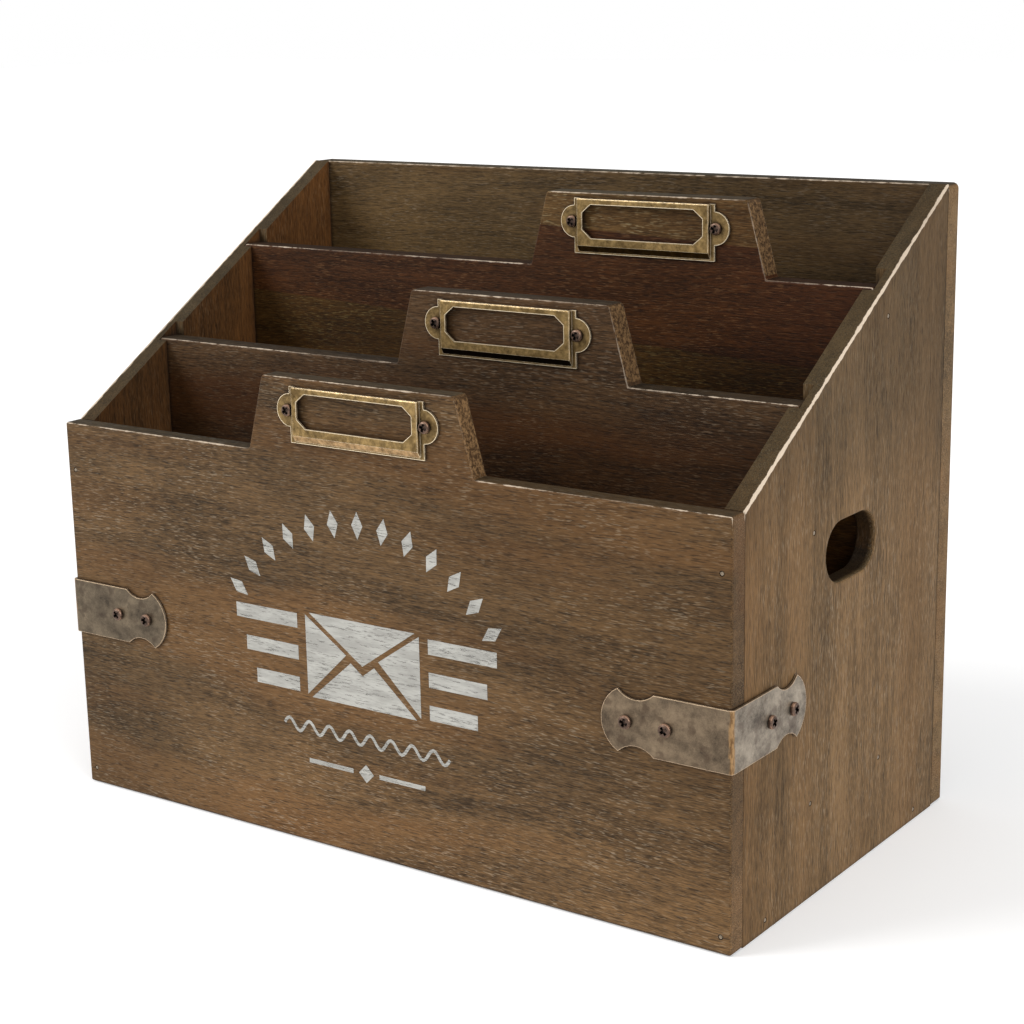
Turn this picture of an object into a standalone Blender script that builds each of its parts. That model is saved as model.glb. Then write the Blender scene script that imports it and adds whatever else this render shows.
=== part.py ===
"""Desk organizer: a stained wood letter rack with three pockets.

Two side panels with a sloping top edge carry a front panel, a back panel, a
bottom panel and two dividers that slide into grooves in the side panels. The
front panel and the dividers each have a tab with a stamped brass label frame,
and a bent strap wraps each front corner. Units are metres. The front faces -Y,
+X is to the right as seen from the front, and the origin is the centre of the
whole object's footprint. A "depth" is measured back from the front panel's
outer face.
"""

import math

import bmesh
import bpy
from mathutils import Matrix, Vector

# Case
CASE_WIDTH = 0.340
CASE_DEPTH = 0.189
FRONT_HEIGHT = 0.170
BACK_HEIGHT = 0.272
FRONT_THICKNESS = 0.009
SIDE_THICKNESS = 0.0086
BACK_THICKNESS = 0.0107
BOTTOM_THICKNESS = 0.009
DIVIDER_THICKNESS = 0.011
GAP = 0.0003
EDGE_ROUNDING = 0.0009
EDGE_SEGMENTS = 2
BOARD_CORNER_RADIUS = 0.001
BACK_CORNER_RADIUS = 0.0025

# Dividers
MIDDLE_DIVIDER_DEPTH = 0.0576
REAR_DIVIDER_DEPTH = 0.1184
MIDDLE_DIVIDER_HEIGHT = 0.200
REAR_DIVIDER_HEIGHT = 0.2368
GROOVE_DEPTH = 0.0046

# Tabs that carry the label frames
TAB_HEIGHT = 0.032
TAB_TOP_HALF = 0.0493
TAB_FOOT_HALF = 0.058
TAB_CORNER_RADIUS = 0.0022
TAB_FOOT_RADIUS = 0.0012
FRONT_TAB_X = -0.0023
MIDDLE_TAB_X = 0.032
REAR_TAB_X = 0.060

# Hand holes in the side panels
HAND_HOLE_LENGTH = 0.0426
HAND_HOLE_HEIGHT = 0.0246
HAND_HOLE_DEPTH = 0.095
HAND_HOLE_Z = 0.1376

# Stamped label frames: a plate with two ears and a raised tray, open at its top.
# The tray's foot is measured on the plate's front face.
FRAME_SHEET = 0.0008
FRAME_HALF = 0.0344
FRAME_HEIGHT = 0.0235
TRAY_FOOT_HALF = 0.0325
TRAY_FACE_HALF = 0.0323
TRAY_FOOT_BOTTOM = 0.0008
TRAY_FACE_BOTTOM = 0.0034
TRAY_RISE = 0.0025
TRAY_ROUNDING = 0.0005
WINDOW_HALF = 0.0296
WINDOW_BOTTOM = 0.0067
WINDOW_TOP = 0.0210
WINDOW_CORNER_X = 0.0044
WINDOW_CORNER_Z = 0.0036
EAR_RADIUS = 0.0069
EAR_Z = 0.0135
EAR_SCREW_X = 0.0353
FRONT_FRAME_X = -0.0013
MIDDLE_FRAME_X = 0.0320
REAR_FRAME_X = 0.0603
FRONT_FRAME_LIFT = 0.0052
MIDDLE_FRAME_LIFT = 0.0055
REAR_FRAME_LIFT = 0.0062

# Corner brackets; reaches are measured from the outer face of the other leaf
BRACKET_SHEET = 0.001
BRACKET_OUTER_RADIUS = 0.002
BRACKET_BEND_CUTS = 6
BRACKET_Z = 0.0852
STRAP_HALF = 0.0124
STRAP_END = 0.0340
SCALLOP_REACH = 0.0415
SCALLOP_HALF = 0.0092
TIP_REACH = 0.0498
TIP_HALF = 0.0126
LEAF_END = 0.0573
BRACKET_SCREW_REACHES = (0.0285, 0.0460)
METAL_EDGE_ROUNDING = 0.00012

# Pan-head screws, measured from the underside of the head
LABEL_HEAD_RADIUS = 0.00245
BRACKET_HEAD_RADIUS = 0.0027
HEAD_HEIGHT = 0.0017
SHANK_RADIUS = 0.0012
SHANK_LENGTH = 0.0070
SCREW_LENGTH = 0.0086
RECESS_ARM = 0.0017
RECESS_HALF_WIDTH = 0.00062
RECESS_DEPTH = 0.0011
PILOT_RADIUS = 0.0016
PILOT_LENGTH = 0.0090
SCREW_TURN_STEP = math.radians(37.0)

# Headless brads
BRAD_HEAD_RADIUS = 0.00075
BRAD_HEAD_LENGTH = 0.0009
BRAD_RADIUS = 0.0006
BRAD_LENGTH = 0.020
BRAD_POINT = 0.0012
BRAD_RECESS = 0.0001
BRAD_HOLE_RADIUS = 0.0011
BRAD_HOLE_LENGTH = 0.0207
FRONT_BRAD_HEIGHTS = (0.0070, 0.1485)
BACK_BRAD_HEIGHTS = (0.016, 0.136, 0.256)
BOTTOM_BRAD_DEPTHS = (0.027, 0.160)
MIDDLE_BRAD_HEIGHTS = (0.040, 0.150)
REAR_BRAD_HEIGHTS = (0.040, 0.225)

# Facets and tolerances
HOLE_FACETS = 12
SCREW_FACETS = 20
BRAD_FACETS = 10
EAR_FACETS = 48
ARC_STEP = math.radians(12.0)
WELD_DISTANCE = 0.00001
FLAT_ANGLE = math.radians(1.0)
SHARP_ANGLE = math.radians(30.0)
BEVEL_ANGLE = math.radians(50.0)
TRAY_BEVEL_ANGLE = math.radians(35.0)
SEAM_TOLERANCE = 0.00005
OVERRUN = 0.002

# Places worked out from the dimensions above
BRACKET_PROUD = GAP + BRACKET_SHEET
FRAME_PROUD = GAP + FRAME_SHEET
FRONT_PROUD = BRACKET_PROUD + GAP + HEAD_HEIGHT
FRONT_FACE_Y = (FRONT_PROUD - CASE_DEPTH) / 2
HALF_WIDTH = CASE_WIDTH / 2
INNER_HALF = HALF_WIDTH - SIDE_THICKNESS
GROOVE_FLOOR_X = INNER_HALF + GROOVE_DEPTH
SIDE_START = FRONT_THICKNESS + GAP
SIDE_STOP = CASE_DEPTH - BACK_THICKNESS - GAP
MIDDLE_CENTRE = MIDDLE_DIVIDER_DEPTH + DIVIDER_THICKNESS / 2
REAR_CENTRE = REAR_DIVIDER_DEPTH + DIVIDER_THICKNESS / 2

# Turns that stand a shape drawn in the XY plane up, with its +Z facing outward
FACING_FRONT = Matrix.Rotation(math.pi / 2, 4, "X")
FACING_BACK = Matrix.Rotation(math.pi, 4, "Z") @ FACING_FRONT
FACING_RIGHT = Matrix.Rotation(math.pi / 2, 4, "Z") @ FACING_FRONT
FACING_LEFT = Matrix.Rotation(-math.pi / 2, 4, "Z") @ FACING_FRONT
UNTURNED = Matrix.Identity(4)


# Scene helpers --------------------------------------------------------------


def clear_scene():
    for old in list(bpy.data.objects):
        bpy.data.objects.remove(old, do_unlink=True)


def new_collection(name):
    made = bpy.data.collections.new(name)
    bpy.context.scene.collection.children.link(made)
    return made


def new_material(name, colour, roughness, metallic):
    made = bpy.data.materials.new(name)
    made.use_nodes = True
    shader = made.node_tree.nodes["Principled BSDF"]
    shader.inputs["Base Color"].default_value = (*colour, 1.0)
    shader.inputs["Roughness"].default_value = roughness
    shader.inputs["Metallic"].default_value = metallic
    made.diffuse_color = (*colour, 1.0)
    return made


def add_object(name, data, place, collection):
    made = bpy.data.objects.new(name, data)
    made.matrix_world = place
    collection.objects.link(made)
    return made


def add_part(name, mesh, place, material):
    if material.name not in mesh.materials:
        mesh.materials.append(material)
    return add_object(name, mesh, place, parts)


def add_cutter(name, mesh, place=UNTURNED):
    made = add_object(name, mesh, place, cutters)
    made.display_type = "WIRE"
    made.hide_render = True
    return made


def evaluated_mesh(source):
    """The object's mesh after its modifiers, in its own coordinates."""
    bpy.context.view_layer.update()
    graph = bpy.context.evaluated_depsgraph_get()
    return bpy.data.meshes.new_from_object(source.evaluated_get(graph), depsgraph=graph)


def combine(target, tool, operation="DIFFERENCE"):
    boolean = target.modifiers.new(tool.name, "BOOLEAN")
    boolean.operation = operation
    boolean.solver = "EXACT"
    boolean.object = tool


def round_edges(target, width, segments, angle=BEVEL_ANGLE):
    """Bevel every edge sharper than this angle."""
    bevel = target.modifiers.new("rounded edges", "BEVEL")
    bevel.width = width
    bevel.segments = segments
    bevel.limit_method = "ANGLE"
    bevel.angle_limit = angle
    return bevel


def round_open_edges(target, on_seam):
    """Bevel a board's sharp edges, but not those that meet another board flush."""
    bm = bmesh.new()
    bm.from_mesh(target.data)
    weight = bm.edges.layers.float.new("bevel_weight_edge")
    for edge in bm.edges:
        seam = all(on_seam(vert.co) for vert in edge.verts)
        edge[weight] = float(edge.calc_face_angle() > BEVEL_ANGLE and not seam)
    bm.to_mesh(target.data)
    bm.free()
    bevel = round_edges(target, EDGE_ROUNDING, EDGE_SEGMENTS)
    bevel.limit_method = "WEIGHT"
    bevel.use_clamp_overlap = False


def depth_y(depth):
    """World Y of a point this far behind the front panel's outer face."""
    return FRONT_FACE_Y + depth


def at(facing, x, y, z):
    return Matrix.Translation((x, y, z)) @ facing


def raised(place, height):
    """The same place, moved along its own outward axis."""
    return place @ Matrix.Translation((0.0, 0.0, height))


# Outlines in the XY plane ---------------------------------------------------


def arc_points(centre, radius, start, stop):
    """Points along an arc, both ends included."""
    steps = max(2, math.ceil(abs(stop - start) / ARC_STEP))
    turns = [start + (stop - start) * n / steps for n in range(steps + 1)]
    return [(centre[0] + radius * math.cos(t), centre[1] + radius * math.sin(t)) for t in turns]


def arc_through(first, middle, last):
    """Points along the circular arc through three points, both ends included."""
    a, b, c = (Vector(p) for p in (first, middle, last))
    twice_area = 2 * (b - a).cross(c - a)
    ab = (b - a).length_squared
    ac = (c - a).length_squared
    across = Vector(((c.y - a.y) * ab - (b.y - a.y) * ac, (b.x - a.x) * ac - (c.x - a.x) * ab))
    centre = a + across / twice_area
    start = math.atan2(a.y - centre.y, a.x - centre.x)
    to_middle = (math.atan2(b.y - centre.y, b.x - centre.x) - start) % math.tau
    to_last = (math.atan2(c.y - centre.y, c.x - centre.x) - start) % math.tau
    if to_middle > to_last:
        to_last -= math.tau
    return arc_points(centre, (a - centre).length, start, start + to_last)


def rounded_outline(corners):
    """Closed outline from (x, y, radius) corners, each radius made an arc."""
    outline = []
    for index, (x, y, radius) in enumerate(corners):
        here = Vector((x, y))
        if radius == 0.0:
            outline.append((x, y))
            continue
        back = (Vector(corners[index - 1][:2]) - here).normalized()
        onward = (Vector(corners[(index + 1) % len(corners)][:2]) - here).normalized()
        half_angle = back.angle(onward) / 2
        reach = radius / math.tan(half_angle)
        to_centre = (back + onward).normalized()
        nearest = here + to_centre * (radius / math.sin(half_angle) - radius)
        outline += arc_through(here + back * reach, nearest, here + onward * reach)
    return outline


def obround_outline(x, y, length, height):
    """Slot with round ends, its long axis along X."""
    radius = height / 2
    reach = length / 2 - radius
    right = arc_points((x + reach, y), radius, -math.pi / 2, math.pi / 2)
    left = arc_points((x - reach, y), radius, math.pi / 2, 3 * math.pi / 2)
    return right + left


# Meshes ---------------------------------------------------------------------


def flat_mesh(outlines, thickness):
    """Plate about the XY plane; the outlines after the first are holes in it."""
    curve = bpy.data.curves.new("outline", "CURVE")
    curve.dimensions = "2D"
    curve.fill_mode = "BOTH"
    curve.extrude = thickness / 2
    for outline in outlines:
        spline = curve.splines.new("POLY")
        spline.points.add(len(outline) - 1)
        for point, (x, y) in zip(spline.points, outline):
            point.co = (x, y, 0.0, 1.0)
        spline.use_cyclic_u = True
    drawn = add_object("outline", curve, UNTURNED, cutters)
    mesh = evaluated_mesh(drawn)
    bpy.data.objects.remove(drawn, do_unlink=True)
    bm = bmesh.new()
    bm.from_mesh(mesh)
    bmesh.ops.remove_doubles(bm, verts=bm.verts, dist=WELD_DISTANCE)
    bmesh.ops.dissolve_limit(bm, angle_limit=FLAT_ANGLE, verts=bm.verts, edges=bm.edges)
    bmesh.ops.recalc_face_normals(bm, faces=bm.faces)
    bm.to_mesh(mesh)
    bm.free()
    return mesh


def box_mesh(corner, opposite):
    """Box between two opposite corners."""
    size = [abs(b - a) for a, b in zip(corner, opposite)]
    middle = (Vector(corner) + Vector(opposite)) / 2
    bm = bmesh.new()
    bmesh.ops.create_cube(bm, size=1.0, matrix=Matrix.Translation(middle) @ Matrix.Diagonal((*size, 1.0)))
    mesh = bpy.data.meshes.new("box")
    bm.to_mesh(mesh)
    bm.free()
    return mesh


def rods_mesh(places, radius, length, facets):
    """Rods that start at each place's origin and run inward along its -Z."""
    bm = bmesh.new()
    for place in places:
        bmesh.ops.create_cone(
            bm,
            cap_ends=True,
            segments=facets,
            radius1=radius,
            radius2=radius,
            depth=length,
            matrix=raised(place, -length / 2),
        )
    mesh = bpy.data.meshes.new("rods")
    bm.to_mesh(mesh)
    bm.free()
    return mesh


def turned_mesh(profile, facets):
    """Solid of revolution about Z from (radius, z) points that run top to bottom."""
    mesh = bpy.data.meshes.new("profile")
    steps = [(n, n + 1) for n in range(len(profile) - 1)]
    mesh.from_pydata([(radius, 0.0, z) for radius, z in profile], steps, [])
    drawn = add_object("profile", mesh, UNTURNED, cutters)
    screw = drawn.modifiers.new("turn", "SCREW")
    screw.steps = facets
    screw.render_steps = facets
    screw.use_merge_vertices = True
    screw.merge_threshold = WELD_DISTANCE
    turned = evaluated_mesh(drawn)
    bpy.data.objects.remove(drawn, do_unlink=True)
    return turned


def drill(target, what, places, radius, length):
    """Drill a hole of this length inward from each place."""
    above = [raised(place, OVERRUN) for place in places]
    rods = rods_mesh(above, radius, length + OVERRUN, HOLE_FACETS)
    combine(target, add_cutter(f"{target.name}_{what}", rods))


# Fastener places, each on a fastener's own axis with +Z facing outward ---------


def label_screw_places(frame_x, face_depth, frame_z):
    """Undersides of the two screw heads on a label frame's ears."""
    y = depth_y(face_depth - FRAME_PROUD - GAP)
    return [at(FACING_FRONT, frame_x + side * EAR_SCREW_X, y, frame_z + EAR_Z) for side in (-1, 1)]


def bracket_front_screw_places(side):
    y = depth_y(-BRACKET_PROUD - GAP)
    outer = HALF_WIDTH + BRACKET_PROUD
    return [at(FACING_FRONT, side * (outer - reach), y, BRACKET_Z) for reach in BRACKET_SCREW_REACHES]


def bracket_side_screw_places(side):
    facing = FACING_RIGHT if side > 0 else FACING_LEFT
    x = side * (HALF_WIDTH + BRACKET_PROUD + GAP)
    return [at(facing, x, depth_y(reach - BRACKET_PROUD), BRACKET_Z) for reach in BRACKET_SCREW_REACHES]


def edge_brad_places(facing, depth, heights):
    """Brads through the front or back panel into the edges of both side panels."""
    x = HALF_WIDTH - SIDE_THICKNESS / 2
    return [at(facing, side * x, depth_y(depth), z) for side in (-1, 1) for z in heights]


def wall_brad_places(depths, heights):
    """Brads driven in through the outer faces of both side panels."""
    left = [at(FACING_LEFT, -HALF_WIDTH, depth_y(depth), z) for depth in depths for z in heights]
    right = [at(FACING_RIGHT, HALF_WIDTH, depth_y(depth), z) for depth in depths for z in heights]
    return left + right


def on_side(places, side):
    """The places left (-1) or right (1) of the middle."""
    return [place for place in places if place.translation.x * side > 0]


# Boards ----------------------------------------------------------------------


def cross_board_outline(half_width, bottom, top, top_radius, tab_x=None):
    """Board seen from the front, with a trapezoid tab on its top edge if tab_x is given."""
    corners = [
        (-half_width, bottom, BOARD_CORNER_RADIUS),
        (half_width, bottom, BOARD_CORNER_RADIUS),
        (half_width, top, top_radius),
    ]
    if tab_x is not None:
        corners += [
            (tab_x + TAB_FOOT_HALF, top, TAB_FOOT_RADIUS),
            (tab_x + TAB_TOP_HALF, top + TAB_HEIGHT, TAB_CORNER_RADIUS),
            (tab_x - TAB_TOP_HALF, top + TAB_HEIGHT, TAB_CORNER_RADIUS),
            (tab_x - TAB_FOOT_HALF, top, TAB_FOOT_RADIUS),
        ]
    corners.append((-half_width, top, top_radius))
    return rounded_outline(corners)


def build_cross_board(name, outline, depth, thickness, material, seam_side=0):
    """Board across the case, its front face at this depth.

    seam_side is 1 if its front face meets the side panels, -1 if its rear face does.
    """
    place = at(FACING_FRONT, 0.0, depth_y(depth + thickness / 2), 0.0)
    board = add_part(name, flat_mesh([outline], thickness), place, material)
    reach = HALF_WIDTH - SEAM_TOLERANCE
    round_open_edges(board, lambda co: abs(co.x) > reach and co.z * seam_side > 0)
    return board


def build_front_panel(material):
    outline = cross_board_outline(HALF_WIDTH, 0.0, FRONT_HEIGHT, BOARD_CORNER_RADIUS, FRONT_TAB_X)
    panel = build_cross_board("front_panel", outline, 0.0, FRONT_THICKNESS, material, seam_side=-1)
    label_screws = label_screw_places(FRONT_FRAME_X, 0.0, FRONT_HEIGHT + FRONT_FRAME_LIFT)
    bracket_screws = bracket_front_screw_places(-1) + bracket_front_screw_places(1)
    drill(panel, "pilots", label_screws + bracket_screws, PILOT_RADIUS, PILOT_LENGTH)
    drill(panel, "brad_holes", front_brads, BRAD_HOLE_RADIUS, BRAD_HOLE_LENGTH)


def build_back_panel(material):
    outline = cross_board_outline(HALF_WIDTH, 0.0, BACK_HEIGHT, BACK_CORNER_RADIUS)
    panel = build_cross_board("back_panel", outline, SIDE_STOP + GAP, BACK_THICKNESS, material, seam_side=1)
    drill(panel, "brad_holes", back_brads, BRAD_HOLE_RADIUS, BRAD_HOLE_LENGTH)


def build_bottom_panel(material):
    low = (GAP - INNER_HALF, depth_y(SIDE_START), 0.0)
    high = (INNER_HALF - GAP, depth_y(SIDE_STOP), BOTTOM_THICKNESS)
    panel = add_part("bottom_panel", box_mesh(low, high), UNTURNED, material)
    drill(panel, "brad_holes", bottom_brads, BRAD_HOLE_RADIUS, BRAD_HOLE_LENGTH)


def build_side_panel(name, side, material):
    """Sloping side panel with a hand hole, two stopped grooves and drilled edges."""
    outline = [
        (SIDE_START, 0.0),
        (SIDE_STOP, 0.0),
        (SIDE_STOP, BACK_HEIGHT),
        (SIDE_START, FRONT_HEIGHT),
    ]
    hand_hole = obround_outline(HAND_HOLE_DEPTH, HAND_HOLE_Z, HAND_HOLE_LENGTH, HAND_HOLE_HEIGHT)
    place = at(FACING_RIGHT, side * (HALF_WIDTH - SIDE_THICKNESS / 2), FRONT_FACE_Y, 0.0)
    panel = add_part(name, flat_mesh([outline, hand_hole], SIDE_THICKNESS), place, material)
    front_seam = SIDE_START + SEAM_TOLERANCE
    back_seam = SIDE_STOP - SEAM_TOLERANCE
    round_open_edges(panel, lambda co: co.x < front_seam or co.x > back_seam)
    for start in (MIDDLE_DIVIDER_DEPTH, REAR_DIVIDER_DEPTH):
        floor = (side * GROOVE_FLOOR_X, depth_y(start - GAP), BOTTOM_THICKNESS)
        mouth = (side * (INNER_HALF - OVERRUN), depth_y(start + DIVIDER_THICKNESS + GAP), BACK_HEIGHT)
        combine(panel, add_cutter(name + "_groove", box_mesh(floor, mouth)))
    brads = on_side(front_brads + back_brads + bottom_brads + middle_brads + rear_brads, side)
    drill(panel, "brad_holes", brads, BRAD_HOLE_RADIUS, BRAD_HOLE_LENGTH)
    drill(panel, "pilots", bracket_side_screw_places(side), PILOT_RADIUS, PILOT_LENGTH)


def build_divider(name, depth, top, tab_x, frame_x, frame_lift, brads, material):
    """Divider that sits in both grooves and stands on the bottom panel."""
    reach = GROOVE_FLOOR_X - GAP
    outline = cross_board_outline(reach, BOTTOM_THICKNESS + GAP, top, BOARD_CORNER_RADIUS, tab_x)
    divider = build_cross_board(name, outline, depth, DIVIDER_THICKNESS, material)
    drill(divider, "pilots", label_screw_places(frame_x, depth, top + frame_lift), PILOT_RADIUS, PILOT_LENGTH)
    drill(divider, "brad_holes", brads, BRAD_HOLE_RADIUS, BRAD_HOLE_LENGTH)


# Label frames ------------------------------------------------------------------


def tray_mesh(low_z, high_z, inset, top):
    """Solid with the tray's sloping left, right and bottom sides, moved in by the inset."""
    wall_height = TRAY_RISE - FRAME_SHEET
    side_slope = (TRAY_FOOT_HALF - TRAY_FACE_HALF) / wall_height
    bottom_slope = (TRAY_FACE_BOTTOM - TRAY_FOOT_BOTTOM) / wall_height
    bm = bmesh.new()
    bmesh.ops.create_cube(bm, size=2.0)
    for vert in bm.verts:
        z = high_z if vert.co.z > 0 else low_z
        up_wall = z - FRAME_SHEET
        x = vert.co.x * (TRAY_FOOT_HALF - inset - up_wall * side_slope)
        y = top if vert.co.y > 0 else TRAY_FOOT_BOTTOM + inset + up_wall * bottom_slope
        vert.co = (x, y, z)
    mesh = bpy.data.meshes.new("tray")
    bm.to_mesh(mesh)
    bm.free()
    return mesh


def build_label_frame(name, frame_x, face_depth, frame_z, material):
    """Stamped sheet: a tray hollowed from behind, on a plate with two ears, with a window."""
    place = at(FACING_FRONT, frame_x, depth_y(face_depth - GAP), frame_z)
    frame = add_part(name, tray_mesh(FRAME_SHEET / 2, TRAY_RISE, 0.0, FRAME_HEIGHT), place, material)
    round_edges(frame, TRAY_ROUNDING, EDGE_SEGMENTS, TRAY_BEVEL_ANGLE)
    plate = box_mesh((-FRAME_HALF, 0.0, 0.0), (FRAME_HALF, FRAME_HEIGHT, FRAME_SHEET))
    combine(frame, add_cutter(name + "_plate", plate, place), "UNION")
    ear_places = [Matrix.Translation((side * FRAME_HALF, EAR_Z, FRAME_SHEET)) for side in (-1, 1)]
    ears = rods_mesh(ear_places, EAR_RADIUS, FRAME_SHEET, EAR_FACETS)
    combine(frame, add_cutter(name + "_ears", ears, place), "UNION")
    hollow = tray_mesh(-OVERRUN, TRAY_RISE - FRAME_SHEET, FRAME_SHEET, FRAME_HEIGHT + OVERRUN)
    combine(frame, add_cutter(name + "_hollow", hollow, place))
    long_half = WINDOW_HALF - WINDOW_CORNER_X
    low = WINDOW_BOTTOM + WINDOW_CORNER_Z
    high = WINDOW_TOP - WINDOW_CORNER_Z
    window = [
        (-long_half, WINDOW_BOTTOM),
        (long_half, WINDOW_BOTTOM),
        (WINDOW_HALF, low),
        (WINDOW_HALF, high),
        (long_half, WINDOW_TOP),
        (-long_half, WINDOW_TOP),
        (-WINDOW_HALF, high),
        (-WINDOW_HALF, low),
    ]
    combine(frame, add_cutter(name + "_window", flat_mesh([window], 3 * TRAY_RISE), place))
    drill(frame, "screw_holes", label_screw_places(frame_x, face_depth, frame_z), PILOT_RADIUS, PILOT_LENGTH)


# Corner brackets -----------------------------------------------------------------


def bracket_outline(from_mid_bend):
    """Flat blank of a bracket; from_mid_bend turns a reach into a distance along the sheet."""
    strap, scallop, tip, end = (
        from_mid_bend(reach) for reach in (STRAP_END, SCALLOP_REACH, TIP_REACH, LEAF_END)
    )
    upper_scallop = arc_through((strap, STRAP_HALF), (scallop, SCALLOP_HALF), (tip, TIP_HALF))
    blade = arc_through((tip, TIP_HALF), (end, 0.0), (tip, -TIP_HALF))
    quarter = upper_scallop + blade[1:-1]
    half = quarter + [(x, -y) for x, y in reversed(upper_scallop)]
    return half + [(-x, -y) for x, y in half]


def build_bracket(name, side, material):
    """Flat blank bent round a front corner of the case, with drilled leaves."""
    mid_radius = BRACKET_OUTER_RADIUS - BRACKET_SHEET / 2
    half_bend = mid_radius * math.pi / 4
    outline = bracket_outline(lambda reach: reach - BRACKET_OUTER_RADIUS + half_bend)
    mesh = flat_mesh([outline], BRACKET_SHEET)
    bm = bmesh.new()
    bm.from_mesh(mesh)
    for n in range(BRACKET_BEND_CUTS + 1):
        across = (half_bend * (2 * n / BRACKET_BEND_CUTS - 1), 0.0, 0.0)
        everything = bm.verts[:] + bm.edges[:] + bm.faces[:]
        bmesh.ops.bisect_plane(bm, geom=everything, plane_co=across, plane_no=(1.0, 0.0, 0.0))
    centre_x = HALF_WIDTH + BRACKET_PROUD - BRACKET_OUTER_RADIUS
    centre_y = depth_y(BRACKET_OUTER_RADIUS - BRACKET_PROUD)
    for vert in bm.verts:
        along, height, outward = vert.co
        bent = max(-half_bend, min(half_bend, along))
        turn = bent / mid_radius - math.pi / 4
        radius = mid_radius + outward
        x = centre_x + radius * math.cos(turn) - (along - bent) * math.sin(turn)
        y = centre_y + radius * math.sin(turn) + (along - bent) * math.cos(turn)
        vert.co = (side * x, y, BRACKET_Z + height)
    bmesh.ops.recalc_face_normals(bm, faces=bm.faces)
    bm.to_mesh(mesh)
    bm.free()
    mesh.shade_smooth()
    mesh.set_sharp_from_angle(angle=SHARP_ANGLE)
    bracket = add_part(name, mesh, UNTURNED, material)
    round_edges(bracket, METAL_EDGE_ROUNDING, 1)
    screws = bracket_front_screw_places(side) + bracket_side_screw_places(side)
    drill(bracket, "screw_holes", screws, PILOT_RADIUS, PILOT_LENGTH)


# Fasteners -------------------------------------------------------------------------


def screw_mesh(head_radius):
    """Pan-head screw with a cross recess, the head's underside at the origin."""
    profile = [
        (0.0, HEAD_HEIGHT),
        (head_radius * 0.72, HEAD_HEIGHT * 0.97),
        (head_radius * 0.92, HEAD_HEIGHT * 0.82),
        (head_radius, HEAD_HEIGHT * 0.55),
        (head_radius, 0.0),
        (SHANK_RADIUS, 0.0),
        (SHANK_RADIUS, -SHANK_LENGTH),
        (0.0, -SCREW_LENGTH),
    ]
    blank = add_object("screw", turned_mesh(profile, SCREW_FACETS), UNTURNED, cutters)
    recess_floor = HEAD_HEIGHT - RECESS_DEPTH
    arm = Vector((RECESS_ARM, RECESS_HALF_WIDTH))
    slots = []
    for reach in (arm, arm.yx):
        box = box_mesh((-reach.x, -reach.y, recess_floor), (reach.x, reach.y, HEAD_HEIGHT + OVERRUN))
        slots.append(add_object("slot", box, UNTURNED, cutters))
        combine(blank, slots[-1])
    mesh = evaluated_mesh(blank)
    for used in (blank, *slots):
        bpy.data.objects.remove(used, do_unlink=True)
    mesh.shade_smooth()
    mesh.set_sharp_from_angle(angle=SHARP_ANGLE)
    return mesh


def build_screws(name, mesh, places, material):
    """A set of screws, each turned on its axis to a different angle."""
    for n, place in enumerate(places, start=1):
        add_part(f"{name}_{n}", mesh, place @ Matrix.Rotation(n * SCREW_TURN_STEP, 4, "Z"), material)


def brad_mesh():
    """Headless brad, its top face at the origin."""
    profile = [
        (0.0, 0.0),
        (BRAD_HEAD_RADIUS, 0.0),
        (BRAD_HEAD_RADIUS, -BRAD_HEAD_LENGTH),
        (BRAD_RADIUS, -BRAD_HEAD_LENGTH - (BRAD_HEAD_RADIUS - BRAD_RADIUS)),
        (BRAD_RADIUS, BRAD_POINT - BRAD_LENGTH),
        (0.0, -BRAD_LENGTH),
    ]
    mesh = turned_mesh(profile, BRAD_FACETS)
    mesh.shade_smooth()
    mesh.set_sharp_from_angle(angle=SHARP_ANGLE)
    return mesh


def build_brads(name, mesh, places, material):
    for n, place in enumerate(places, start=1):
        add_part(f"{name}_{n}", mesh, raised(place, -BRAD_RECESS), material)


# Assembly ----------------------------------------------------------------------------

clear_scene()
parts = new_collection("desk_organizer")
cutters = new_collection("cutters")

front_wood = new_material("front_wood", (0.165, 0.099, 0.052), 0.62, 0.0)
side_wood = new_material("side_wood", (0.185, 0.121, 0.070), 0.62, 0.0)
divider_wood = new_material("divider_wood", (0.120, 0.070, 0.038), 0.62, 0.0)
back_wood = new_material("back_wood", (0.130, 0.082, 0.045), 0.62, 0.0)
antique_brass = new_material("antique_brass", (0.36, 0.25, 0.11), 0.38, 1.0)
antique_bronze = new_material("antique_bronze", (0.30, 0.23, 0.17), 0.42, 1.0)
dark_bronze = new_material("dark_bronze", (0.24, 0.17, 0.11), 0.40, 1.0)
bright_steel = new_material("bright_steel", (0.55, 0.52, 0.47), 0.35, 1.0)

front_brads = edge_brad_places(FACING_FRONT, 0.0, FRONT_BRAD_HEIGHTS)
back_brads = edge_brad_places(FACING_BACK, CASE_DEPTH, BACK_BRAD_HEIGHTS)
bottom_brads = wall_brad_places(BOTTOM_BRAD_DEPTHS, (BOTTOM_THICKNESS / 2,))
middle_brads = wall_brad_places((MIDDLE_CENTRE,), MIDDLE_BRAD_HEIGHTS)
rear_brads = wall_brad_places((REAR_CENTRE,), REAR_BRAD_HEIGHTS)

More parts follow.
